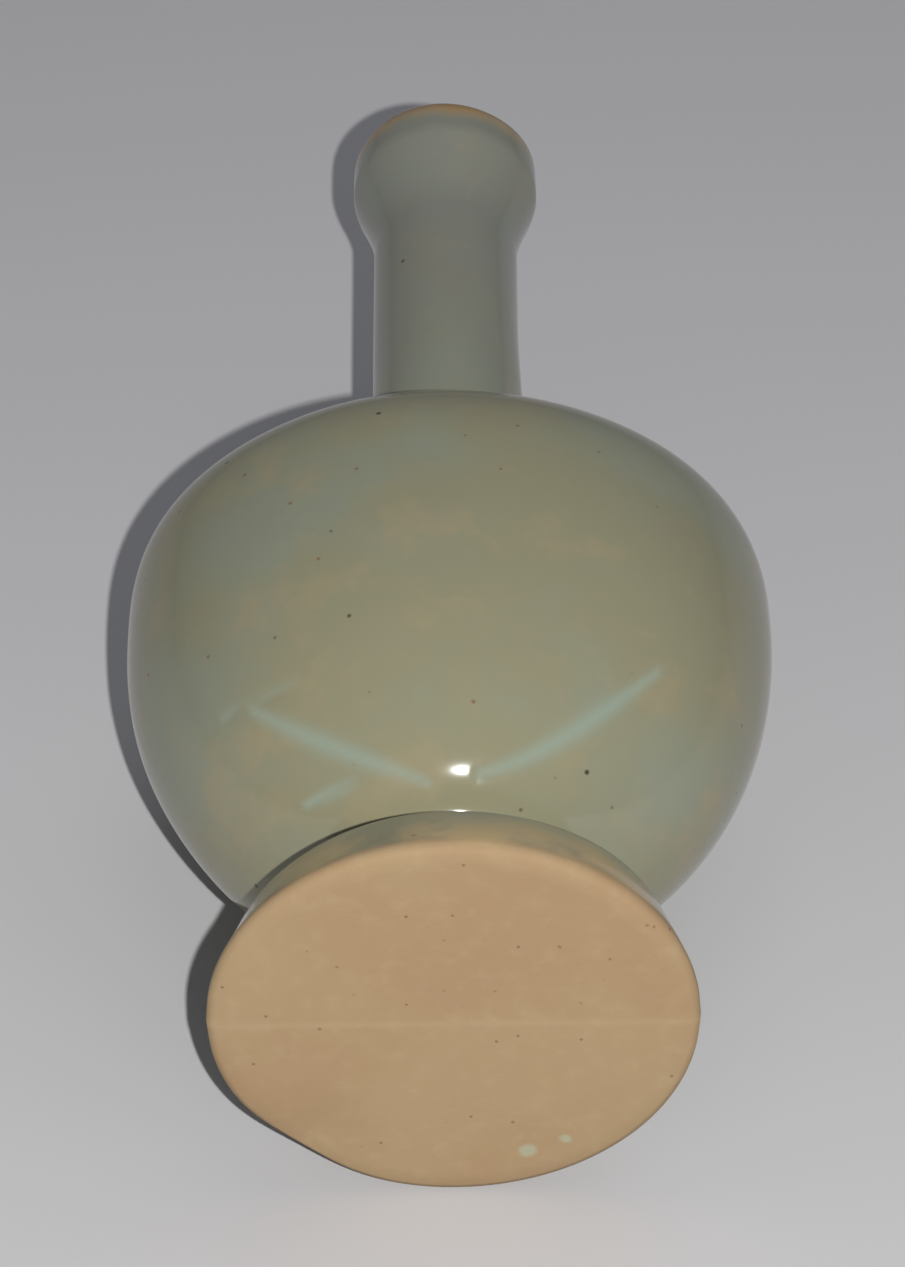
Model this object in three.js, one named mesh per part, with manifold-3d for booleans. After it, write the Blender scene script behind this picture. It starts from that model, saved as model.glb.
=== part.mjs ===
// Stoneware perfume bottle: an oval moulded body on a spreading foot, with a
// thrown neck and a cupped mouth. Millimetres, +Z up, the bottle stands on
// the plane z = 0 and its decorated front faces -Y.
//
// The clay was pressed in a two-part mould, so the body and foot are a front and
// a back half that meet on the plane y = 0. The round neck with its mouth was
// made apart and luted on the shoulder. All three share one wall with an open
// bore and a hollow belly.

import * as THREE from 'three';
import { mergeVertices } from 'three/addons/utils/BufferGeometryUtils.js';
import Module from 'manifold-3d';

const wasm = await Module();
wasm.setup();
const { Manifold, Mesh } = wasm;

// Foot: a thick disc whose side leans in from a low round edge.
const FOOT_WIDTH = 46.6;
const FOOT_DEPTH = 44.3;
const FOOT_EDGE = 0.9;
const FOOT_TOP = 6.6;
const FOOT_TAPER = 1.9;

// Waist between foot and belly
const WAIST_WIDTH = 20.5;
const WAIST_DEPTH = 18.5;
const WAIST_HEIGHT = 14.8;
const WAIST_FILLET = 2.8;
const FILLET_SHARE = 0.08;
const FILLET_PULL = 1.5;

// Belly: widest at its height, with a round underside and a full shoulder.
const BODY_WIDTH = 65;
const BODY_DEPTH = 49.9;
const BODY_HEIGHT = 55.4;
const UNDER_ROUND = 38;
const SHOULDER_RISE = 20.4;
const SHOULDER_POWER = 2.9;

// Throat: the shoulder's sweep up into the neck, from a share of its climb.
const THROAT_START = 0.86;
const THROAT_RISE = 9.2;
const THROAT_PULL = 8;

// Neck
const ROOT_WIDTH = 15.8;
const NECK_WIDTH = 15.6;
const NECK_LENGTH = 36.3;
const NECK_JOINT_RISE = 1;

// Mouth
const MOUTH_WIDTH = 20.2;
const MOUTH_LENGTH = 16.3;
const FLARE_START = 0.56;
const LIP_BAND = 5.1;
const LIP_EDGE = 1.2;

// Walls
const WALL = 3.2;
const NECK_WALL = 2.9;
const LIP_WALL = 2.1;
const FLOOR_DROP = 3;

// Incised leaf strokes
const STROKE_DEPTH = 0.45;
const STROKE_WIDTH = 1.5;
const THIN_STROKE_WIDTH = 0.6;

// Steps of the surfaces
const AROUND = 68;
const FINE = 13;
const COARSE = 6;

// A station is a point of the profile: half width, half depth, height.
const station = (width, depth, height) => new THREE.Vector3(width / 2, depth / 2, height);

// A smooth run between two stations. Both ends run straight up, for the share
// of the height that the two pulls give.
function swell(from, to, pullFrom, pullTo, steps) {
  const rise = to.z - from.z;
  const first = from.clone();
  first.z += rise * pullFrom;
  const last = to.clone();
  last.z -= rise * pullTo;
  return new THREE.CubicBezierCurve3(from, first, last, to).getPoints(steps);
}

// A soft S between two stations.
function ease(from, to, steps) {
  const points = [];
  for (let i = 0; i <= steps; i += 1) {
    const share = (1 - Math.cos((Math.PI * i) / steps)) / 2;
    const point = from.clone().lerp(to, share);
    point.z = THREE.MathUtils.lerp(from.z, to.z, i / steps);
    points.push(point);
  }
  return points;
}

// The round underside of the belly, an arc of the given radius in height. The
// arc would start at a station, and its first share is left out for the fillet.
function underBelly(from, to, radius, left, steps) {
  const whole = Math.asin(Math.min((to.z - from.z) / radius, 0.999));
  const points = [];
  for (let i = 0; i <= steps; i += 1) {
    const turn = whole * (1 - left) * (1 - i / steps);
    const share = (Math.cos(turn) - Math.cos(whole)) / (1 - Math.cos(whole));
    const point = from.clone().lerp(to, share);
    point.z = to.z - radius * Math.sin(turn);
    points.push(point);
  }
  return points;
}

// The shoulder, fuller than an oval where the power is over 2, up to a share of
// its climb. Past that the throat takes over.
function shoulder(from, to, power, end, steps) {
  const points = [];
  for (let i = 0; i <= steps; i += 1) {
    const climb = Math.sin(Math.asin(end) * (i / steps));
    const share = Math.sqrt(Math.max(1 - climb ** power, 0));
    const point = to.clone().lerp(from, share);
    point.z = THREE.MathUtils.lerp(from.z, to.z, climb);
    points.push(point);
  }
  return points;
}

// A run that goes on in the direction of the last two stations, or comes into
// that of the first two, and is upright at its other end.
function sweepUp(run, to, pull, steps) {
  const [before, from] = run.slice(-2);
  const first = from.clone().add(from.clone().sub(before).setLength(pull));
  const last = to.clone().setZ(to.z - pull);
  return new THREE.CubicBezierCurve3(from, first, last, to).getPoints(steps);
}

function sweepInto(from, run, pull, steps) {
  const [to, after] = run;
  const first = from.clone().setZ(from.z + pull);
  const last = to.clone().sub(after.clone().sub(to).setLength(pull));
  return new THREE.CubicBezierCurve3(from, first, last, to).getPoints(steps);
}

// A quarter round from a level start to an upright end, or the other way about.
function quarter(from, to, levelFirst, steps) {
  const corner = levelFirst ? to.clone().setZ(from.z) : from.clone().setZ(to.z);
  const points = [];
  for (let i = 0; i <= steps; i += 1) {
    const t = (i / steps) * (Math.PI / 2);
    const toFirst = 1 - Math.sin(t);
    const toLast = 1 - Math.cos(t);
    const point = corner.clone();
    point.addScaledVector(from.clone().sub(corner), toFirst);
    point.addScaledVector(to.clone().sub(corner), toLast);
    points.push(point);
  }
  return points;
}

// Joins runs of stations and drops the ones that repeat.
function chain(...runs) {
  const points = [];
  for (const point of runs.flat()) {
    const last = points[points.length - 1];
    if (!last || last.distanceTo(point) > 1e-6) points.push(point);
  }
  return points;
}

const shoulderHeight = BODY_HEIGHT + SHOULDER_RISE;
const rootHeight = shoulderHeight + THROAT_RISE;
const jointHeight = rootHeight + NECK_JOINT_RISE;
const neckHeight = rootHeight + NECK_LENGTH;
const mouthHeight = neckHeight + MOUTH_LENGTH;
const arcHeight = WAIST_HEIGHT + WAIST_FILLET;
const floorHeight = WAIST_HEIGHT - FLOOR_DROP;
const bore = NECK_WIDTH - 2 * NECK_WALL;
const rootBore = ROOT_WIDTH - 2 * NECK_WALL;
const lipTop = MOUTH_WIDTH - 2 * LIP_EDGE;
const lipInside = MOUTH_WIDTH - 2 * LIP_WALL;

const footBase = station(FOOT_WIDTH - 2 * FOOT_EDGE, FOOT_DEPTH - 2 * FOOT_EDGE, 0);
const footSide = station(FOOT_WIDTH, FOOT_DEPTH, FOOT_EDGE);
const footTop = station(FOOT_WIDTH - 2 * FOOT_TAPER, FOOT_DEPTH - 2 * FOOT_TAPER, FOOT_TOP);
const waist = station(WAIST_WIDTH, WAIST_DEPTH, WAIST_HEIGHT);
const arcStart = station(WAIST_WIDTH, WAIST_DEPTH, arcHeight);
const belly = station(BODY_WIDTH, BODY_DEPTH, BODY_HEIGHT);
const shoulderTop = station(ROOT_WIDTH, ROOT_WIDTH, shoulderHeight);
const root = station(ROOT_WIDTH, ROOT_WIDTH, rootHeight);
const neck = station(NECK_WIDTH, NECK_WIDTH, neckHeight);
const flare = station(MOUTH_WIDTH, MOUTH_WIDTH, mouthHeight - LIP_BAND);
const lipSide = station(MOUTH_WIDTH, MOUTH_WIDTH, mouthHeight - LIP_EDGE);
const lipCrest = station(lipTop, lipTop, mouthHeight);

const underside = underBelly(arcStart, belly, UNDER_ROUND, FILLET_SHARE, FINE);
const upperSide = shoulder(belly, shoulderTop, SHOULDER_POWER, THROAT_START, FINE - 4);
const outside = chain(
  quarter(footBase, footSide, true, 3),
  [footTop],
  ease(footTop, waist, COARSE),
  sweepInto(waist, underside, FILLET_PULL, 3),
  underside,
  upperSide,
  sweepUp(upperSide, root, THROAT_PULL, COARSE),
  ease(root, neck, 3),
  swell(neck, flare, 1 - FLARE_START, 0.08, COARSE + 1),
  quarter(lipSide, lipCrest, false, 3),
);

const innerFloor = station(WAIST_WIDTH - 4 * WALL, WAIST_DEPTH - 4 * WALL, floorHeight);
const innerWaist = station(WAIST_WIDTH - 2 * WALL, WAIST_DEPTH - 2 * WALL, WAIST_HEIGHT);
const innerArc = station(WAIST_WIDTH - 2 * WALL, WAIST_DEPTH - 2 * WALL, arcHeight);
const innerBelly = station(BODY_WIDTH - 2 * WALL, BODY_DEPTH - 2 * WALL, BODY_HEIGHT);
const innerTop = station(rootBore, rootBore, shoulderHeight - WALL);
const innerRoot = station(rootBore, rootBore, rootHeight);
const innerNeck = station(bore, bore, neckHeight);
const innerMouth = station(lipInside, lipInside, mouthHeight - LIP_EDGE);
const innerCrest = station(lipInside + 0.4, lipInside + 0.4, mouthHeight);

const innerUnder = underBelly(innerArc, innerBelly, UNDER_ROUND, FILLET_SHARE, 9);
const innerUpper = shoulder(innerBelly, innerTop, SHOULDER_POWER, THROAT_START, 6);
const inside = chain(
  quarter(innerFloor, innerWaist, true, 3),
  sweepInto(innerWaist, innerUnder, FILLET_PULL, 2),
  innerUnder,
  innerUpper,
  sweepUp(innerUpper, innerRoot, THROAT_PULL, 5),
  ease(innerRoot, innerNeck, 2),
  swell(innerNeck, innerMouth, 1 - FLARE_START, 0.1, COARSE),
  [innerCrest],
).reverse();

// The closed wall: up the outside, over the lip, down the inside. Each station
// is an oval ring, and the base and the floor close on a point of the axis.
function lathedOval(stations, bottom, top) {
  const positions = [0, 0, bottom];
  for (const { x, y, z } of stations) {
    for (let i = 0; i < AROUND; i += 1) {
      const angle = (i / AROUND) * Math.PI * 2;
      positions.push(x * Math.cos(angle), y * Math.sin(angle), z);
    }
  }
  positions.push(0, 0, top);
  const lastPole = positions.length / 3 - 1;
  const index = [];
  for (let i = 0; i < AROUND; i += 1) {
    const next = (i + 1) % AROUND;
    index.push(0, 1 + next, 1 + i);
    for (let ring = 0; ring < stations.length - 1; ring += 1) {
      const a = 1 + ring * AROUND;
      const b = a + AROUND;
      index.push(a + i, a + next, b + next);
      index.push(a + i, b + next, b + i);
    }
    const last = 1 + (stations.length - 1) * AROUND;
    index.push(last + i, last + next, lastPole);
  }
  const geometry = new THREE.BufferGeometry();
  geometry.setAttribute('position', new THREE.Float32BufferAttribute(positions, 3));
  geometry.setIndex(index);
  return geometry;
}

function toSolid(geometry) {
  const bare = geometry.clone();
  bare.deleteAttribute('normal');
  bare.deleteAttribute('uv');
  const merged = mergeVertices(bare, 1e-5);
  return new Manifold(new Mesh({
    numProp: 3,
    vertProperties: new Float32Array(merged.attributes.position.array),
    triVerts: new Uint32Array(merged.index.array),
  }));
}

function toGeometry(solid) {
  const mesh = solid.getMesh();
  const geometry = new THREE.BufferGeometry();
  geometry.setAttribute('position', new THREE.BufferAttribute(mesh.vertProperties, 3));
  geometry.setIndex(new THREE.BufferAttribute(mesh.triVerts, 1));
  geometry.computeVertexNormals();
  return geometry;
}

function block(xSize, ySize, zSize, x, y, z) {
  const geometry = new THREE.BoxGeometry(xSize, ySize, zSize);
  geometry.translate(x, y, z);
  return toSolid(geometry);
}

// The half width and half depth of the outside at a height.
function outsideAt(height) {
  for (let i = 0; i < outside.length - 1; i += 1) {
    const low = outside[i];
    const high = outside[i + 1];
    if (high.z > low.z && height >= low.z && height <= high.z) {
      return low.clone().lerp(high, (height - low.z) / (high.z - low.z));
    }
  }
  return outside[outside.length - 1];
}

// A point of the front wall, found by its place across and its height.
function onFront(across, height) {
  const { x, y } = outsideAt(height);
  return new THREE.Vector3(across, -y * Math.sqrt(1 - (across / x) ** 2), height);
}

// The way out of the front wall at a point of it.
function outwards({ x, y, z }) {
  const step = 0.2;
  const lower = outsideAt(z - step);
  const upper = outsideAt(z + step);
  const { x: a, y: b } = outsideAt(z);
  const widens = (upper.x - lower.x) / (2 * step);
  const deepens = (upper.y - lower.y) / (2 * step);
  const rise = (x * x * widens) / a ** 3 + (y * y * deepens) / b ** 3;
  return new THREE.Vector3(x / (a * a), y / (b * b), -rise).normalize();
}

// An incised stroke: a spindle-shaped cutter, widest in the middle, laid along a
// bent line of the front wall. Its places are [across, height].
function strokeCutter(start, bend, end, width) {
  const steps = 22;
  const sides = 8;
  const line = new THREE.QuadraticBezierCurve(
    new THREE.Vector2(...start),
    new THREE.Vector2(...bend),
    new THREE.Vector2(...end),
  );
  const centres = line.getPoints(steps).map((place) => onFront(place.x, place.y));
  const positions = [];
  const index = [];
  for (let i = 0; i <= steps; i += 1) {
    const centre = centres[i];
    const along = centres[Math.min(i + 1, steps)].clone().sub(centres[Math.max(i - 1, 0)]).normalize();
    const out = outwards(centre);
    const side = new THREE.Vector3().crossVectors(along, out).normalize();
    const fullness = 0.22 + 0.78 * Math.sin((Math.PI * i) / steps);
    for (let k = 0; k < sides; k += 1) {
      const turn = (k / sides) * Math.PI * 2;
      const point = centre.clone();
      point.addScaledVector(side, (Math.cos(turn) * width * fullness) / 2);
      point.addScaledVector(out, Math.sin(turn) * STROKE_DEPTH * fullness);
      positions.push(point.x, point.y, point.z);
    }
  }
  for (let i = 0; i < steps; i += 1) {
    for (let k = 0; k < sides; k += 1) {
      const a = i * sides + k;
      const b = i * sides + ((k + 1) % sides);
      index.push(a, b, b + sides, a, b + sides, a + sides);
    }
  }
  for (let k = 1; k < sides - 1; k += 1) {
    index.push(0, k + 1, k);
    const far = steps * sides;
    index.push(far, far + k, far + k + 1);
  }
  const geometry = new THREE.BufferGeometry();
  geometry.setAttribute('position', new THREE.Float32BufferAttribute(positions, 3));
  geometry.setIndex(index);
  const solid = toSolid(geometry);
  return solid.volume() > 0 ? solid : toSolid(flipped(geometry));
}

function flipped(geometry) {
  const turned = geometry.clone();
  const index = Array.from(geometry.index.array);
  for (let i = 0; i < index.length; i += 3) {
    [index[i + 1], index[i + 2]] = [index[i + 2], index[i + 1]];
  }
  turned.setIndex(index);
  return turned;
}

const wall = toSolid(lathedOval(outside.concat(inside), 0, floorHeight));

const reach = 4 * Math.max(BODY_WIDTH, mouthHeight);
const below = jointHeight - reach / 2;
const above = jointHeight + reach / 2;
const frontRoom = block(reach, reach, reach, 0, -reach / 2, below);
const backRoom = block(reach, reach, reach, 0, reach / 2, below);
const neckRoom = block(reach, reach, reach, 0, 0, above);

// Two broad strokes that meet low on the front like a leaf's sides, and two thin
// ones. Across is a share of the body's half width, up a share of the underside.
const half = BODY_WIDTH / 2;
const under = BODY_HEIGHT - arcHeight;
const at = (across, up) => [across * half, arcHeight + up * under];
const strokes = [
  strokeCutter(at(-0.59, 0.318), at(-0.375, 0.127), at(-0.03, 0.045), STROKE_WIDTH),
  strokeCutter(at(0.62, 0.413), at(0.34, 0.103), at(0.01, 0.05), STROKE_WIDTH),
  strokeCutter(at(-0.68, 0.35), at(-0.556, 0.325), at(-0.43, 0.336), THIN_STROKE_WIDTH),
  strokeCutter(at(-0.27, 0.077), at(-0.36, 0.074), at(-0.43, 0.085), THIN_STROKE_WIDTH),
];

let frontSolid = wall.intersect(frontRoom);
for (const cutter of strokes) frontSolid = frontSolid.subtract(cutter);

const glaze = { roughness: 0.22, metalness: 0 };
const pieces = [
  ['front_half', frontSolid, 0x8f8d73],
  ['back_half', wall.intersect(backRoom), 0x8b8b74],
  ['neck_and_mouth', wall.intersect(neckRoom), 0x70716a],
];

const bottle = new THREE.Group();
bottle.name = 'stoneware_perfume_bottle';
for (const [name, solid, color] of pieces) {
  const material = new THREE.MeshStandardMaterial({ color, ...glaze });
  const mesh = new THREE.Mesh(toGeometry(solid), material);
  mesh.name = name;
  bottle.add(mesh);
}

export default bottle;
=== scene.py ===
# %% [markdown]
# # A glazed stoneware perfume bottle
#
# The bottle is one fired wall of clay: an oval belly on a spreading foot, a slim
# round neck and a cupped mouth. The wall is a grid of points. One way the grid
# goes along the profile, from the middle of the base up the outside, over the
# lip and down the inside. The other way it goes around the axis.
#
# Lengths in the constants are millimetres and become metres at the end.

# %%
import math

import bpy
import numpy as np
from mathutils import Matrix, Vector


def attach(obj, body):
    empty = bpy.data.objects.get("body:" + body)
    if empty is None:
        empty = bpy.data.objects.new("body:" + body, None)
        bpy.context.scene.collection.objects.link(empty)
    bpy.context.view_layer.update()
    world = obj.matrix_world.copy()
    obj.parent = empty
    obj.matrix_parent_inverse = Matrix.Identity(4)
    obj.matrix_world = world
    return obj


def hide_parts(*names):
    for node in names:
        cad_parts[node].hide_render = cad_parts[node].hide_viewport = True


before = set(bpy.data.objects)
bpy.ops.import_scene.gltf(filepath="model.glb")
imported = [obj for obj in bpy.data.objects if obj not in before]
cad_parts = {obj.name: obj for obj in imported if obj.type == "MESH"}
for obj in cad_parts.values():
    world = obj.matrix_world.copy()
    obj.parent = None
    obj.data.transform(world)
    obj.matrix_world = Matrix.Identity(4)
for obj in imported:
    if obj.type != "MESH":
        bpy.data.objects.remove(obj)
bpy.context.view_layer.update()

MM = 0.001

# %% [markdown]
# ## The sizes
#
# They are the sizes of the solid model.

# %%
FOOT_WIDTH, FOOT_DEPTH = 46.6, 44.3
FOOT_EDGE, FOOT_TOP, FOOT_TAPER = 0.9, 6.6, 1.9
WAIST_WIDTH, WAIST_DEPTH, WAIST_HEIGHT = 20.5, 18.5, 14.8
WAIST_FILLET, FILLET_SHARE, FILLET_PULL = 2.8, 0.08, 1.5
BODY_WIDTH, BODY_DEPTH, BODY_HEIGHT = 65.0, 49.9, 55.4
UNDER_ROUND, SHOULDER_RISE, SHOULDER_POWER = 38.0, 20.4, 2.9
THROAT_START, THROAT_RISE, THROAT_PULL = 0.86, 9.2, 8.0
ROOT_WIDTH, NECK_WIDTH, NECK_LENGTH = 15.8, 15.6, 36.3
MOUTH_WIDTH, MOUTH_LENGTH = 20.2, 16.3
LIP_BAND, LIP_EDGE, FLARE_START = 5.1, 1.2, 0.56
WALL, NECK_WALL, LIP_WALL, FLOOR_DROP = 3.2, 2.9, 2.1, 3.0
SHOULDER_HEIGHT = BODY_HEIGHT + SHOULDER_RISE
ROOT_HEIGHT = SHOULDER_HEIGHT + THROAT_RISE
ARC_HEIGHT = WAIST_HEIGHT + WAIST_FILLET
NECK_HEIGHT = ROOT_HEIGHT + NECK_LENGTH
MOUTH_HEIGHT = NECK_HEIGHT + MOUTH_LENGTH
FLOOR = WAIST_HEIGHT - FLOOR_DROP
VIEW_TILT, VIEW_DISTANCE = 39.85, 594.0


def station(width, depth, height):
    """A point of the profile: half width, half depth, height."""
    return np.array([width / 2, depth / 2, height])


def ease(low, high, steps):
    """A soft S from low to high: the share is (1 - cos(pi t)) / 2, the height is even."""
    t = np.linspace(0, 1, steps)
    share = (1 - np.cos(math.pi * t)) / 2
    run = low + (high - low) * share[:, None]
    run[:, 2] = low[2] + (high[2] - low[2]) * t
    return run


def under_belly(low, high, radius, left, steps):
    """The round underside: z = high - R sin(a), and the width follows cos(a).

    The first share of the turn, left, is kept for the fillet.
    """
    whole = math.asin(min((high[2] - low[2]) / radius, 0.999))
    turn = np.linspace(whole * (1 - left), 0, steps)
    share = (np.cos(turn) - math.cos(whole)) / (1 - math.cos(whole))
    run = low + (high - low) * share[:, None]
    run[:, 2] = high[2] - radius * np.sin(turn)
    return run


def shoulder(low, high, power, end, steps):
    """The shoulder: climb c from 0 to its end, width share sqrt(1 - c^power)."""
    climb = np.sin(np.linspace(0, math.asin(end), steps))
    share = np.sqrt(np.maximum(1 - climb**power, 0))
    run = high + (low - high) * share[:, None]
    run[:, 2] = low[2] + (high[2] - low[2]) * climb
    return run


def cubic(p0, p1, p2, p3, steps):
    """p(t) = (1-t)^3 p0 + 3 t (1-t)^2 p1 + 3 t^2 (1-t) p2 + t^3 p3"""
    t = np.linspace(0, 1, steps)[:, None]
    ends = (1 - t) ** 3 * p0 + t**3 * p3
    return ends + 3 * t * (1 - t) ** 2 * p1 + 3 * t**2 * (1 - t) * p2


def upright(point, rise):
    """A point straight above, or below where the rise is negative."""
    return point + np.array([0, 0, rise])


def sweep_up(run, high, pull, steps):
    """Goes on in the direction of a run's end and arrives upright."""
    way = run[-1] - run[-2]
    first = run[-1] + way / np.linalg.norm(way) * pull
    return cubic(run[-1], first, upright(high, -pull), high, steps)


def sweep_into(low, run, pull, steps):
    """Starts upright and comes into the direction of a run's start."""
    way = run[1] - run[0]
    last = run[0] - way / np.linalg.norm(way) * pull
    return cubic(low, upright(low, pull), last, run[0], steps)


def swell(low, high, pull_low, pull_high, steps):
    """A cubic curve that leaves low and reaches high upright."""
    rise = high[2] - low[2]
    return cubic(low, upright(low, rise * pull_low), upright(high, -rise * pull_high), high, steps)


def quarter(start, end, level_first, steps):
    """A quarter round about a corner c: p(t) = c + (a-c)(1-sin t) + (b-c)(1-cos t)."""
    corner = np.array([*end[:2], start[2]]) if level_first else np.array([*start[:2], end[2]])
    t = np.linspace(0, math.pi / 2, steps)[:, None]
    return corner + (start - corner) * (1 - np.sin(t)) + (end - corner) * (1 - np.cos(t))


def chain(*runs):
    """Joins runs of stations and drops the ones that repeat."""
    points = np.vstack(runs)
    step = np.linalg.norm(np.diff(points, axis=0), axis=1)
    return points[np.concatenate([[True], step > 1e-6])]


print("sizes in mm:", BODY_WIDTH, "wide,", BODY_DEPTH, "deep,", MOUTH_HEIGHT, "tall")

# %% [markdown]
# ## The profile
#
# The outside and the inside follow the same runs, a wall apart. The outside is
# then resampled at a fine even step, because the strokes are cut in its grid.

# %%
belly = station(BODY_WIDTH, BODY_DEPTH, BODY_HEIGHT)
waist = station(WAIST_WIDTH, WAIST_DEPTH, WAIST_HEIGHT)
foot_base = station(FOOT_WIDTH - 2 * FOOT_EDGE, FOOT_DEPTH - 2 * FOOT_EDGE, 0)
foot_side = station(FOOT_WIDTH, FOOT_DEPTH, FOOT_EDGE)
foot_top = station(FOOT_WIDTH - 2 * FOOT_TAPER, FOOT_DEPTH - 2 * FOOT_TAPER, FOOT_TOP)
arc_start = station(WAIST_WIDTH, WAIST_DEPTH, ARC_HEIGHT)
shoulder_top = station(ROOT_WIDTH, ROOT_WIDTH, SHOULDER_HEIGHT)
root = station(ROOT_WIDTH, ROOT_WIDTH, ROOT_HEIGHT)
neck = station(NECK_WIDTH, NECK_WIDTH, NECK_HEIGHT)
flare = station(MOUTH_WIDTH, MOUTH_WIDTH, MOUTH_HEIGHT - LIP_BAND)
lip_side = station(MOUTH_WIDTH, MOUTH_WIDTH, MOUTH_HEIGHT - LIP_EDGE)
lip_crest = station(MOUTH_WIDTH - 2 * LIP_EDGE, MOUTH_WIDTH - 2 * LIP_EDGE, MOUTH_HEIGHT)

underside = under_belly(arc_start, belly, UNDER_ROUND, FILLET_SHARE, 60)
upper_side = shoulder(belly, shoulder_top, SHOULDER_POWER, THROAT_START, 60)
outside = chain(
    quarter(foot_base, foot_side, True, 12),
    foot_top[None],
    ease(foot_top, waist, 30),
    sweep_into(waist, underside, FILLET_PULL, 12),
    underside,
    upper_side,
    sweep_up(upper_side, root, THROAT_PULL, 40),
    ease(root, neck, 20),
    swell(neck, flare, 1 - FLARE_START, 0.08, 40),
    quarter(lip_side, lip_crest, False, 8),
)

bore = NECK_WIDTH - 2 * NECK_WALL
in_belly = station(BODY_WIDTH - 2 * WALL, BODY_DEPTH - 2 * WALL, BODY_HEIGHT)
in_waist = station(WAIST_WIDTH - 2 * WALL, WAIST_DEPTH - 2 * WALL, WAIST_HEIGHT)
in_floor = station(WAIST_WIDTH - 4 * WALL, WAIST_DEPTH - 4 * WALL, FLOOR)
in_arc = upright(in_waist, WAIST_FILLET)
root_bore = ROOT_WIDTH - 2 * NECK_WALL
in_top = station(root_bore, root_bore, SHOULDER_HEIGHT - WALL)
in_root = station(root_bore, root_bore, ROOT_HEIGHT)
in_neck = station(bore, bore, NECK_HEIGHT)
in_mouth = station(MOUTH_WIDTH - 2 * LIP_WALL, MOUTH_WIDTH - 2 * LIP_WALL, MOUTH_HEIGHT - LIP_EDGE)
in_crest = in_mouth + np.array([0.2, 0.2, LIP_EDGE])

in_under = under_belly(in_arc, in_belly, UNDER_ROUND, FILLET_SHARE, 12)
in_upper = shoulder(in_belly, in_top, SHOULDER_POWER, THROAT_START, 10)
inside = chain(
    quarter(in_floor, in_waist, True, 6),
    sweep_into(in_waist, in_under, FILLET_PULL, 3),
    in_under,
    in_upper,
    sweep_up(in_upper, in_root, THROAT_PULL, 8),
    ease(in_root, in_neck, 4),
    swell(in_neck, in_mouth, 1 - FLARE_START, 0.1, 12),
    in_crest[None],
)[::-1]


def resample(points, count):
    """Evenly spaced stations along the curve, by its length in the width plane."""
    span = np.linalg.norm(np.diff(points[:, [0, 2]], axis=0), axis=1)
    length = np.concatenate([[0], np.cumsum(span)])
    even = np.linspace(0, length[-1], count)
    return np.stack([np.interp(even, length, points[:, k]) for k in range(3)], axis=1)


OUTSIDE_STEPS = 200
outside = resample(outside, OUTSIDE_STEPS)
BASE_STEPS = 14
base_share = np.linspace(0, 1, BASE_STEPS + 1)[1:-1, None]
base_rings = outside[0] * np.array([1, 1, 0]) * base_share
profile = np.vstack([base_rings, outside, inside])
print("profile stations:", len(profile))

# %% [markdown]
# ## The wall's grid
#
# The turn around the axis starts at the front. The steps are finer there, where
# the leaf strokes are.

# %%
AROUND = 372
FRONT_DENSITY = 0.55


def turns(count):
    """Angles from -pi to pi: pi (d s + (1 - d) s^3), dense at the front."""
    s = np.linspace(-1, 1, count, endpoint=False)
    return math.pi * (FRONT_DENSITY * s + (1 - FRONT_DENSITY) * s**3)


phi = turns(AROUND)
width, depth, height = profile[:, 0, None], profile[:, 1, None], profile[:, 2, None]
x = width * np.sin(phi)
y = -depth * np.cos(phi)
z = np.repeat(height, AROUND, axis=1)
is_outside = np.zeros(len(profile), bool)
is_outside[: len(base_rings) + OUTSIDE_STEPS] = True


def smooth(low, high, value):
    """0 below low, 1 above high and a soft cubic step between."""
    t = np.clip((value - low) / (high - low), 0, 1)
    return t * t * (3 - 2 * t)


# The direction that each point is pushed in: out of the wall.
slope = np.gradient(profile[:, 2])[:, None]
run_w = np.gradient(profile[:, 0])[:, None]
run_d = np.gradient(profile[:, 1])[:, None]
out = np.stack(
    [slope * np.sin(phi), -slope * np.cos(phi), -(run_w * np.sin(phi) ** 2 + run_d * np.cos(phi) ** 2)],
    axis=2,
)
out /= np.maximum(np.linalg.norm(out, axis=2, keepdims=True), 1e-9)
print("grid:", z.shape)

# %% [markdown]
# ## What the hands and the mould left
#
# The wall is a little uneven. A faint ridge runs where the two mould halves met,
# straight across the base. The foot's edge is slightly pushed in at one place.

# %%
UNEVEN = 0.16
RIDGE_HEIGHT, RIDGE_WIDTH = 0.07, 0.6
DENT_DEPTH, DENT_TURN, DENT_SPREAD = 0.7, -2.42, 0.28

uneven = UNEVEN * (
    np.sin(2 * phi + 0.05 * z + 0.4) * np.sin(0.085 * z + 0.8)
    + 0.5 * np.sin(3 * phi - 0.11 * z)
    + 0.35 * np.sin(5 * phi + 0.19 * z + 1.7)
)
calm = smooth(0, 4, z) * (1 - 0.6 * smooth(ROOT_HEIGHT, NECK_HEIGHT, z))
ridge_fade = 1 - 0.75 * smooth(0.5, 6, z)
ridge = RIDGE_HEIGHT * np.exp(-((y / RIDGE_WIDTH) ** 2)) * ridge_fade
ridge = ridge * (1 - smooth(BODY_HEIGHT, ROOT_HEIGHT, z))
away = np.angle(np.exp(1j * (phi - DENT_TURN)))
dent = DENT_DEPTH * np.exp(-((away / DENT_SPREAD) ** 2)) * (1 - smooth(3, 9, z))
dent = dent * smooth(0.55, 1.0, np.hypot(x / (FOOT_WIDTH / 2), y / (FOOT_DEPTH / 2)))

# %% [markdown]
# ## The incised strokes
#
# Two broad strokes meet low on the front like the sides of a leaf, and two thin
# ones lie beside them. Each is a curve drawn on the front, in millimetres across
# and up. A stroke is a groove whose depth falls off with the distance to it:
# d = depth * exp(-(r / w)^2), and w is the largest in the middle.

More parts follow.
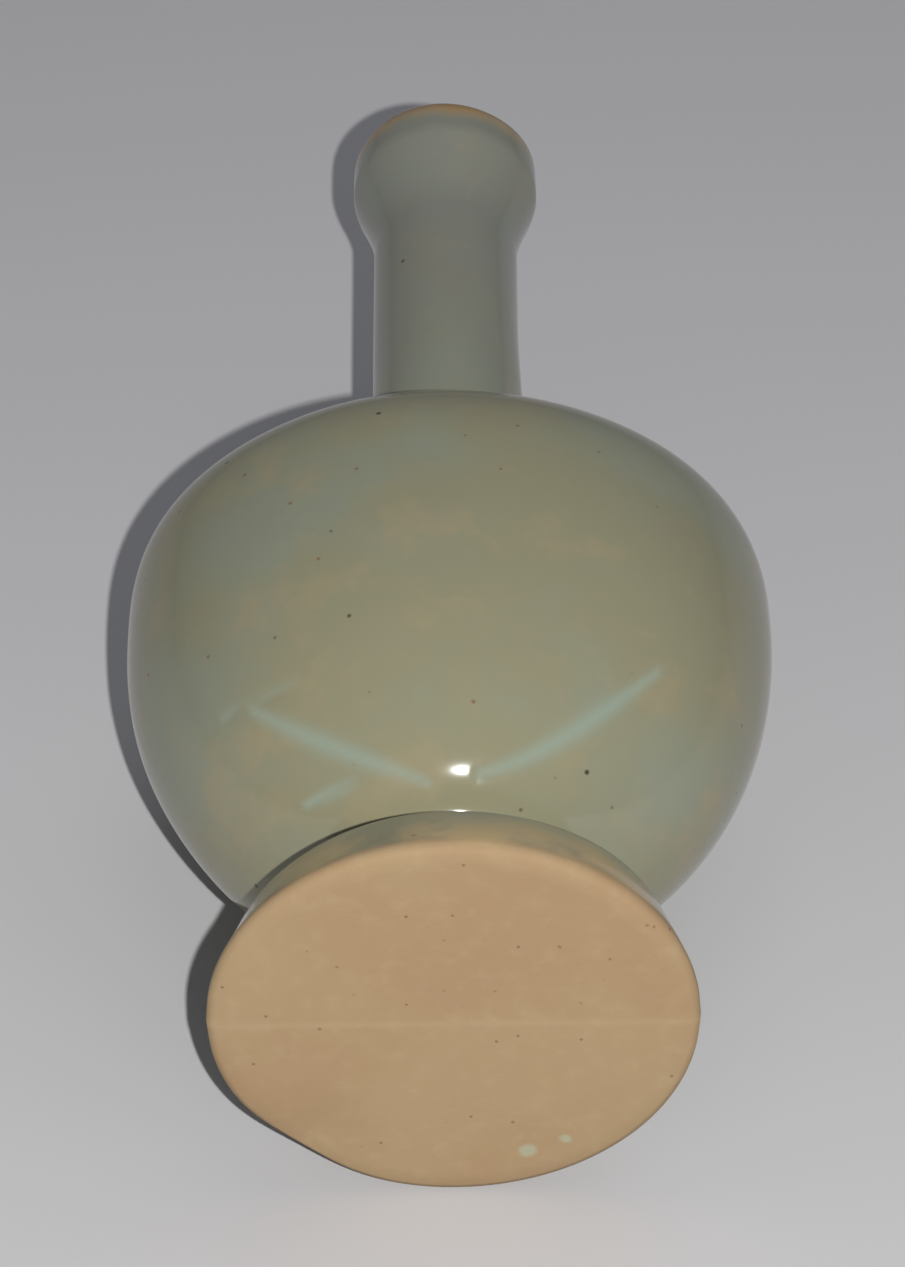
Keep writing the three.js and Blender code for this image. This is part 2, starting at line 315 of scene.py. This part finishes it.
# %%
STROKES = [
    ((-19.1, 29.6), (-12.2, 22.4), (-2.2, 19.5), 1.0, 0.26),
    ((20.2, 33.2), (11.1, 21.5), (2.6, 20.0), 1.0, 0.26),
    ((-22.1, 30.8), (-18.1, 29.9), (-14.0, 30.3), 0.35, 0.14),
    ((-8.8, 20.5), (-11.7, 20.4), (-14.0, 20.8), 0.6, 0.25),
]


def half_depth_at(across, up):
    """The depth y of the front wall at a place across and up."""
    order = np.argsort(outside[:, 2])
    a = np.interp(up, outside[order, 2], outside[order, 0])
    b = np.interp(up, outside[order, 2], outside[order, 1])
    return -b * np.sqrt(np.maximum(1 - (across / a) ** 2, 0))


def stroke_field(start, bend, end, half_width, depth_mm):
    """The groove's depth at each grid point, and how much glaze pools in it."""
    t = np.linspace(0, 1, 60)
    across = (1 - t) ** 2 * start[0] + 2 * t * (1 - t) * bend[0] + t**2 * end[0]
    up = (1 - t) ** 2 * start[1] + 2 * t * (1 - t) * bend[1] + t**2 * end[1]
    deep = half_depth_at(across, up)
    best = np.full(z.shape, 1e6)
    swell_here = np.zeros(z.shape)
    for k in range(len(t)):
        gap = np.sqrt((x - across[k]) ** 2 + (y - deep[k]) ** 2 + (z - up[k]) ** 2)
        nearer = gap < best
        best = np.where(nearer, gap, best)
        swell_here = np.where(nearer, 0.3 + 0.7 * math.sin(math.pi * (0.08 + 0.84 * t[k])), swell_here)
    fall = np.exp(-((best / (half_width * swell_here)) ** 2))
    return fall * depth_mm * swell_here, fall


groove = np.zeros(z.shape)
pooled = np.zeros(z.shape)
for start, bend, end, half_width, depth_mm in STROKES:
    cut, pool = stroke_field(start, bend, end, half_width, depth_mm)
    groove = np.maximum(groove, cut)
    pooled = np.maximum(pooled, pool * (0.55 + 0.45 * depth_mm / 0.26))
print("strokes:", len(STROKES), "deepest mm:", round(float(groove.max()), 2))

# %% [markdown]
# ## Putting the wall together
#
# The unevenness is drawn in by a hair, to stay inside the bottle's own width and
# depth. Shares kept on the points tell the material where the clay is bare, where
# the glaze has pooled in a stroke, and where it is thin on an edge.

# %%
push = np.where(is_outside[:, None], calm * uneven + ridge - dent - groove, 0.0)
points = np.stack([x, y, z], axis=2) + out * push[:, :, None]
points[:, :, 2] = np.clip(points[:, :, 2], 0, MOUTH_HEIGHT)
half_w, half_d = BODY_WIDTH / 2, BODY_DEPTH / 2
points[:, :, 0] *= min(1, half_w / np.abs(points[:, :, 0]).max())
points[:, :, 1] *= min(1, half_d / np.abs(points[:, :, 1]).max())

wander = 0.5 * np.sin(4 * phi + 1.0) + 0.35 * np.sin(9 * phi + 0.3) + 0.25 * np.sin(17 * phi)
bare = (1 - smooth(0.9, 2.2, z + 0.45 * wander)) * is_outside[:, None]
edge_thin = (1 - smooth(2.5, 9.0, z + 0.8 * wander)) * is_outside[:, None]
lip_thin = smooth(MOUTH_HEIGHT - 3.6, MOUTH_HEIGHT - 0.6, z + 0.35 * wander)
thin = np.clip(np.maximum(edge_thin, lip_thin), 0, 1)
seam_share = np.exp(-((y / 0.4) ** 2)) * (z < 1.0) * is_outside[:, None]


def grid_faces(rings, around):
    """Quads of a grid that closes around, and a fan to a pole at each end."""
    ring = np.arange(rings - 1)[:, None] * around
    here = np.arange(around)[None]
    nxt = (here + 1) % around
    quads = np.stack([ring + here, ring + nxt, ring + around + nxt, ring + around + here], axis=2)
    first_pole, last_pole = rings * around, rings * around + 1
    top = (rings - 1) * around
    fans = [(first_pole, int(b), int(a)) for a, b in zip(here[0], nxt[0])]
    fans += [(last_pole, int(top + a), int(top + b)) for a, b in zip(here[0], nxt[0])]
    return [tuple(q) for q in quads.reshape(-1, 4).tolist()] + fans


def signed_volume(verts, faces):
    """Six times the volume, positive when the faces look outwards."""
    total = 0.0
    for f in faces[:: max(1, len(faces) // 20000)]:
        a, b, c = verts[f[0]], verts[f[1]], verts[f[2]]
        total += float(np.dot(a, np.cross(b, c)))
    return total


faces = grid_faces(len(profile), AROUND)
poles = np.array([[0, 0, 0], [0, 0, FLOOR]])
verts = np.vstack([points.reshape(-1, 3), poles]) * MM
if signed_volume(verts, faces) < 0:
    faces = [tuple(reversed(f)) for f in faces]

mesh = bpy.data.meshes.new("glazed_wall")
mesh.from_pydata(verts.tolist(), [], faces)
mesh.polygons.foreach_set("use_smooth", [True] * len(mesh.polygons))


def keep_share(name, field, at_poles):
    """Stores a share on the points for the material to read."""
    layer = mesh.attributes.new(name, "FLOAT", "POINT")
    layer.data.foreach_set("value", np.append(field.ravel(), at_poles).astype(np.float32))


keep_share("bare", bare, [1, 0])
keep_share("thin", thin, [1, 0])
keep_share("pooled", pooled * (1 - bare), [0, 0])
keep_share("seam", seam_share, [1, 0])
mesh.update()
wall = bpy.data.objects.new("glazed_wall", mesh)
bpy.context.scene.collection.objects.link(wall)
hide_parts("front_half", "back_half", "neck_and_mouth")
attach(wall, "root")
print("wall:", len(mesh.vertices), "points,", len(mesh.polygons), "faces")

# %% [markdown]
# ## The glaze and the bare clay
#
# The glaze is an olive grey-green, mottled with tan and blue-green, with small
# iron specks. It pools pale blue in the strokes and turns tan where it is thin.
# The base is bare buff clay with fine grains.

# %%


def srgb(r, g, b):
    """A colour given in 0 to 255 display values, as linear light."""
    def linear(v):
        v = v / 255
        return v / 12.92 if v <= 0.04045 else ((v + 0.055) / 1.055) ** 2.4
    return (linear(r), linear(g), linear(b), 1.0)


class Nodes:
    """A short way to add nodes and links to one material."""

    def __init__(self, name):
        self.material = bpy.data.materials.new(name)
        self.material.use_nodes = True
        self.tree = self.material.node_tree
        self.tree.nodes.clear()

    def add(self, kind, **settings):
        node = self.tree.nodes.new(kind)
        for key, value in settings.items():
            setattr(node, key, value)
        return node

    def link(self, source, target):
        self.tree.links.new(source, target)

    def noise(self, where, scale, detail=3.0, rough=0.5):
        node = self.add("ShaderNodeTexNoise")
        self.link(where, node.inputs["Vector"])
        node.inputs["Scale"].default_value = scale
        node.inputs["Detail"].default_value = detail
        node.inputs["Roughness"].default_value = rough
        return node.outputs["Fac"]

    def ramp(self, value, low, high):
        """Maps low to high onto 0 to 1, softly."""
        node = self.add("ShaderNodeMapRange", interpolation_type="SMOOTHSTEP")
        self.link(value, node.inputs["Value"])
        node.inputs["From Min"].default_value = low
        node.inputs["From Max"].default_value = high
        return node.outputs["Result"]

    def math(self, operation, a, b):
        node = self.add("ShaderNodeMath", operation=operation)
        for socket, value in zip(node.inputs, (a, b)):
            if isinstance(value, (int, float)):
                socket.default_value = value
            else:
                self.link(value, socket)
        return node.outputs["Value"]

    def mix(self, share, a, b):
        """Colour a where the share is 0 and colour b where it is 1."""
        node = self.add("ShaderNodeMix", data_type="RGBA")
        sockets = [s for s in node.inputs if s.type == "RGBA"]
        self.link(share, node.inputs["Factor"])
        for socket, value in zip(sockets, (a, b)):
            if isinstance(value, tuple):
                socket.default_value = value
            else:
                self.link(value, socket)
        return next(s for s in node.outputs if s.type == "RGBA")

    def share(self, name):
        return self.add("ShaderNodeAttribute", attribute_name=name).outputs["Fac"]

    def specks(self, where, scale, size, keep):
        """Small round spots in the cells of a Voronoi pattern, in a share of the cells."""
        cells = self.add("ShaderNodeTexVoronoi")
        self.link(where, cells.inputs["Vector"])
        cells.inputs["Scale"].default_value = scale
        split = self.add("ShaderNodeSeparateColor")
        self.link(cells.outputs["Color"], split.inputs["Color"])
        spot = self.ramp(cells.outputs["Distance"], size, size * 0.35)
        chosen = self.math("GREATER_THAN", split.outputs[0], 1 - keep)
        return self.math("MULTIPLY", spot, chosen)


OLIVE = srgb(134, 132, 107)
SAGE = srgb(131, 135, 117)
TAN = srgb(150, 138, 108)
BLUE_GREY = srgb(124, 127, 124)
POOL = srgb(140, 157, 145)
IRON = srgb(52, 38, 26)
RUST = srgb(112, 74, 42)
THIN_EDGE = srgb(186, 163, 118)
LIP_BROWN = srgb(146, 106, 58)
DRIP = srgb(158, 162, 138)
CLAY = srgb(158, 134, 100)
CLAY_WARM = srgb(155, 128, 95)
CLAY_DARK = srgb(92, 68, 48)
CLAY_PALE = srgb(176, 154, 120)

stone = Nodes("celadon_glaze_and_clay")
where = stone.add("ShaderNodeTexCoord").outputs["Object"]

broad = stone.noise(where, 38, 3.0, 0.55)
middle = stone.noise(where, 95, 4.0, 0.6)
fine = stone.noise(where, 420, 4.0, 0.6)
glaze = stone.mix(stone.ramp(broad, 0.42, 0.62), OLIVE, SAGE)
glaze = stone.mix(stone.math("MULTIPLY", stone.ramp(middle, 0.5, 0.72), 0.6), glaze, TAN)
split = stone.add("ShaderNodeSeparateXYZ")
stone.link(where, split.inputs["Vector"])
up_the_neck = stone.ramp(split.outputs["Z"], (BODY_HEIGHT + 12) * MM, (NECK_HEIGHT - 6) * MM)
glaze = stone.mix(stone.math("MULTIPLY", up_the_neck, 0.55), glaze, BLUE_GREY)
glaze = stone.mix(stone.math("MULTIPLY", stone.ramp(fine, 0.5, 0.8), 0.07), glaze, CLAY_PALE)
glaze = stone.mix(stone.math("MULTIPLY", stone.specks(where, 190, 0.07, 0.9), 0.9), glaze, IRON)
glaze = stone.mix(stone.math("MULTIPLY", stone.specks(where, 270, 0.08, 0.6), 0.7), glaze, RUST)
glaze = stone.mix(stone.math("MULTIPLY", stone.share("pooled"), 0.6), glaze, POOL)
thin_wander = stone.math("MULTIPLY", stone.share("thin"), stone.ramp(middle, 0.3, 0.6))
glaze = stone.mix(stone.math("MULTIPLY", thin_wander, 0.9), glaze, THIN_EDGE)
lip_share = stone.math("MULTIPLY", stone.share("thin"), up_the_neck)
lip_patches = stone.math("MULTIPLY", lip_share, stone.ramp(broad, 0.35, 0.6))
glaze = stone.mix(stone.math("MULTIPLY", lip_patches, 0.7), glaze, LIP_BROWN)

grain_edge = stone.noise(where, 700, 2.0, 0.5)
clay = stone.mix(stone.ramp(broad, 0.4, 0.65), CLAY, CLAY_WARM)
clay = stone.mix(stone.math("MULTIPLY", stone.ramp(fine, 0.45, 0.8), 0.25), clay, CLAY_PALE)
clay = stone.mix(stone.math("MULTIPLY", stone.specks(where, 480, 0.12, 0.5), 0.6), clay, CLAY_DARK)
clay = stone.mix(stone.math("MULTIPLY", stone.share("seam"), 0.22), clay, CLAY_PALE)

# Two drips of glaze on the base, near its back edge: place and radius in mm.
for drip_x, drip_y, drip_r in ((10.6, 15.2, 0.65), (7.0, 16.8, 1.0)):
    gap = stone.add("ShaderNodeVectorMath", operation="DISTANCE")
    stone.link(where, gap.inputs[0])
    gap.inputs[1].default_value = (drip_x * MM, drip_y * MM, 0)
    uneven_gap = stone.math("ADD", gap.outputs["Value"], stone.math("MULTIPLY", grain_edge, 0.0009))
    drip = stone.ramp(uneven_gap, drip_r * MM + 0.0006, drip_r * MM * 0.5 + 0.0003)
    clay = stone.mix(stone.math("MULTIPLY", drip, 0.75), clay, DRIP)

bare_share = stone.share("bare")
surface = stone.add("ShaderNodeBsdfPrincipled")
stone.link(stone.mix(bare_share, glaze, clay), surface.inputs["Base Color"])
GLAZE_ROUGH, CLAY_ROUGH = 0.09, 0.82
roughness = stone.math(
    "ADD", GLAZE_ROUGH, stone.math("MULTIPLY", bare_share, CLAY_ROUGH - GLAZE_ROUGH)
)
stone.link(roughness, surface.inputs["Roughness"])
surface.inputs["IOR"].default_value = 1.5

grain = stone.noise(where, 900, 3.0, 0.6)
relief = stone.math("ADD", stone.math("MULTIPLY", middle, 0.35), stone.math("MULTIPLY", grain, bare_share))
bump = stone.add("ShaderNodeBump")
bump.inputs["Strength"].default_value = 0.18
bump.inputs["Distance"].default_value = 0.00025
stone.link(relief, bump.inputs["Height"])
stone.link(bump.outputs["Normal"], surface.inputs["Normal"])
output = stone.add("ShaderNodeOutputMaterial")
stone.link(surface.outputs["BSDF"], output.inputs["Surface"])
mesh.materials.append(stone.material)
print("material:", stone.material.name, len(stone.tree.nodes), "nodes")

# %% [markdown]
# ## The camera
#
# The bottle lies on its back with the foot towards the camera. In the model's
# upright frame the camera is therefore in front and below, and looks up at the
# base. The table is the plane behind the bottle.

# %%
IMAGE_WIDTH, IMAGE_HEIGHT = 905, 1267
BODY_HALF_PIXELS = 322.0
AIM_ROW, AIM_COLUMN = 645.0, 449.7
ROLL = math.radians(0.6)

tilt = math.radians(VIEW_TILT)
sight = Vector((0, math.sin(tilt), math.cos(tilt)))
image_up = Vector((0, -math.cos(tilt), math.sin(tilt)))
image_right = sight.cross(image_up)
centre = Vector((0, 0, BODY_HEIGHT * MM))
eye = centre - sight * (VIEW_DISTANCE * MM)
focal_pixels = BODY_HALF_PIXELS / (BODY_WIDTH / 2) * VIEW_DISTANCE

camera_data = bpy.data.cameras.new("camera")
camera_data.sensor_fit = "VERTICAL"
camera_data.sensor_height = 24.0
camera_data.lens = focal_pixels / IMAGE_HEIGHT * camera_data.sensor_height
camera_data.clip_start, camera_data.clip_end = 0.01, 20.0
camera_data.shift_y = (AIM_ROW - IMAGE_HEIGHT / 2) / IMAGE_HEIGHT
camera_data.shift_x = (IMAGE_WIDTH / 2 - AIM_COLUMN) / IMAGE_HEIGHT
camera = bpy.data.objects.new("camera", camera_data)
bpy.context.scene.collection.objects.link(camera)
turned_up = (math.cos(ROLL) * image_up + math.sin(ROLL) * image_right).normalized()
turned_right = sight.cross(turned_up)
basis = Matrix((turned_right, turned_up, -sight)).transposed()
camera.matrix_world = Matrix.Translation(eye) @ basis.to_4x4()
bpy.context.scene.camera = camera
print("lens mm:", round(camera_data.lens, 1))

# %% [markdown]
# ## The table and the light
#
# The table touches the back of the belly and the back of the foot. Seen from
# behind it is see-through, so it never hides the bottle.

# %%
back_rise = np.linspace(0, BODY_HEIGHT, 200)
order = np.argsort(outside[:, 2])
back_depth = np.interp(back_rise, outside[order, 2], outside[order, 1])
# The table leans on the belly's back and meets the foot's back edge.
foot_back = np.array([FOOT_DEPTH / 2, FOOT_EDGE])
lean = max((d - foot_back[0]) / (h - foot_back[1]) for h, d in zip(back_rise[60:], back_depth[60:]))
direction = Vector((0, lean, 1)).normalized()
touch = Vector((0, foot_back[0], foot_back[1])) * MM
TABLE_HALF = 1.6
corner_x = Vector((TABLE_HALF, 0, 0))
along = direction * TABLE_HALF
table_mesh = bpy.data.meshes.new("table")
corners = [touch - corner_x - along, touch + corner_x - along, touch + corner_x + along, touch - corner_x + along]
facing = (corners[1] - corners[0]).cross(corners[2] - corners[0])
order_of = (0, 1, 2, 3) if facing.y < 0 else (3, 2, 1, 0)
table_mesh.from_pydata([tuple(c) for c in corners], [], [order_of])
table = bpy.data.objects.new("table", table_mesh)
bpy.context.scene.collection.objects.link(table)

paper = Nodes("pale_table")
face_on = paper.add("ShaderNodeBsdfPrincipled")
face_on.inputs["Base Color"].default_value = srgb(196, 196, 198)
face_on.inputs["Roughness"].default_value = 0.7
clear = paper.add("ShaderNodeBsdfTransparent")
side = paper.add("ShaderNodeNewGeometry").outputs["Backfacing"]
both = paper.add("ShaderNodeMixShader")
paper.link(side, both.inputs[0])
paper.link(face_on.outputs["BSDF"], both.inputs[1])
paper.link(clear.outputs["BSDF"], both.inputs[2])
paper_out = paper.add("ShaderNodeOutputMaterial")
paper.link(both.outputs["Shader"], paper_out.inputs["Surface"])
table_mesh.materials.append(paper.material)


def area_light(name, place, target, size, watts, colour):
    """A square soft light at a place, turned to a target."""
    data = bpy.data.lights.new(name, "AREA")
    data.size = size
    data.energy = watts
    data.color = colour
    lamp = bpy.data.objects.new(name, data)
    bpy.context.scene.collection.objects.link(lamp)
    lamp.location = place
    lamp.rotation_euler = (target - place).to_track_quat("-Z", "Y").to_euler()
    return lamp


LAMP_TURN = math.tan(math.radians(3.0))
lamp_place = eye + image_right * (VIEW_DISTANCE * MM * LAMP_TURN)
area_light("near_light", lamp_place, centre, 0.006, 3.5, (1.0, 0.985, 0.965))
soft_place = centre + image_up * 0.25 + Vector((0.25, -0.75, 0.3))
soft = area_light("soft_light", soft_place, centre, 0.9, 1.2, (0.95, 0.97, 1.0))
soft.visible_glossy = False

world = bpy.data.worlds.new("soft_room")
world.use_nodes = True
bpy.context.scene.world = world
room = world.node_tree.nodes["Background"]
room.inputs["Color"].default_value = (0.84, 0.85, 0.92, 1)
room.inputs["Strength"].default_value = 0.19
# The camera sees a paler room than the one that lights the bottle.
seen = world.node_tree.nodes.new("ShaderNodeBackground")
seen.inputs["Color"].default_value = (0.62, 0.63, 0.65, 1)
choice = world.node_tree.nodes.new("ShaderNodeMixShader")
path = world.node_tree.nodes.new("ShaderNodeLightPath")
room_out = world.node_tree.nodes["World Output"]
world.node_tree.links.new(path.outputs["Is Camera Ray"], choice.inputs[0])
world.node_tree.links.new(room.outputs[0], choice.inputs[1])
world.node_tree.links.new(seen.outputs[0], choice.inputs[2])
world.node_tree.links.new(choice.outputs[0], room_out.inputs["Surface"])
bpy.context.scene.view_settings.view_transform = "Standard"
print("table leans", round(math.degrees(math.atan(lean)), 1), "degrees")
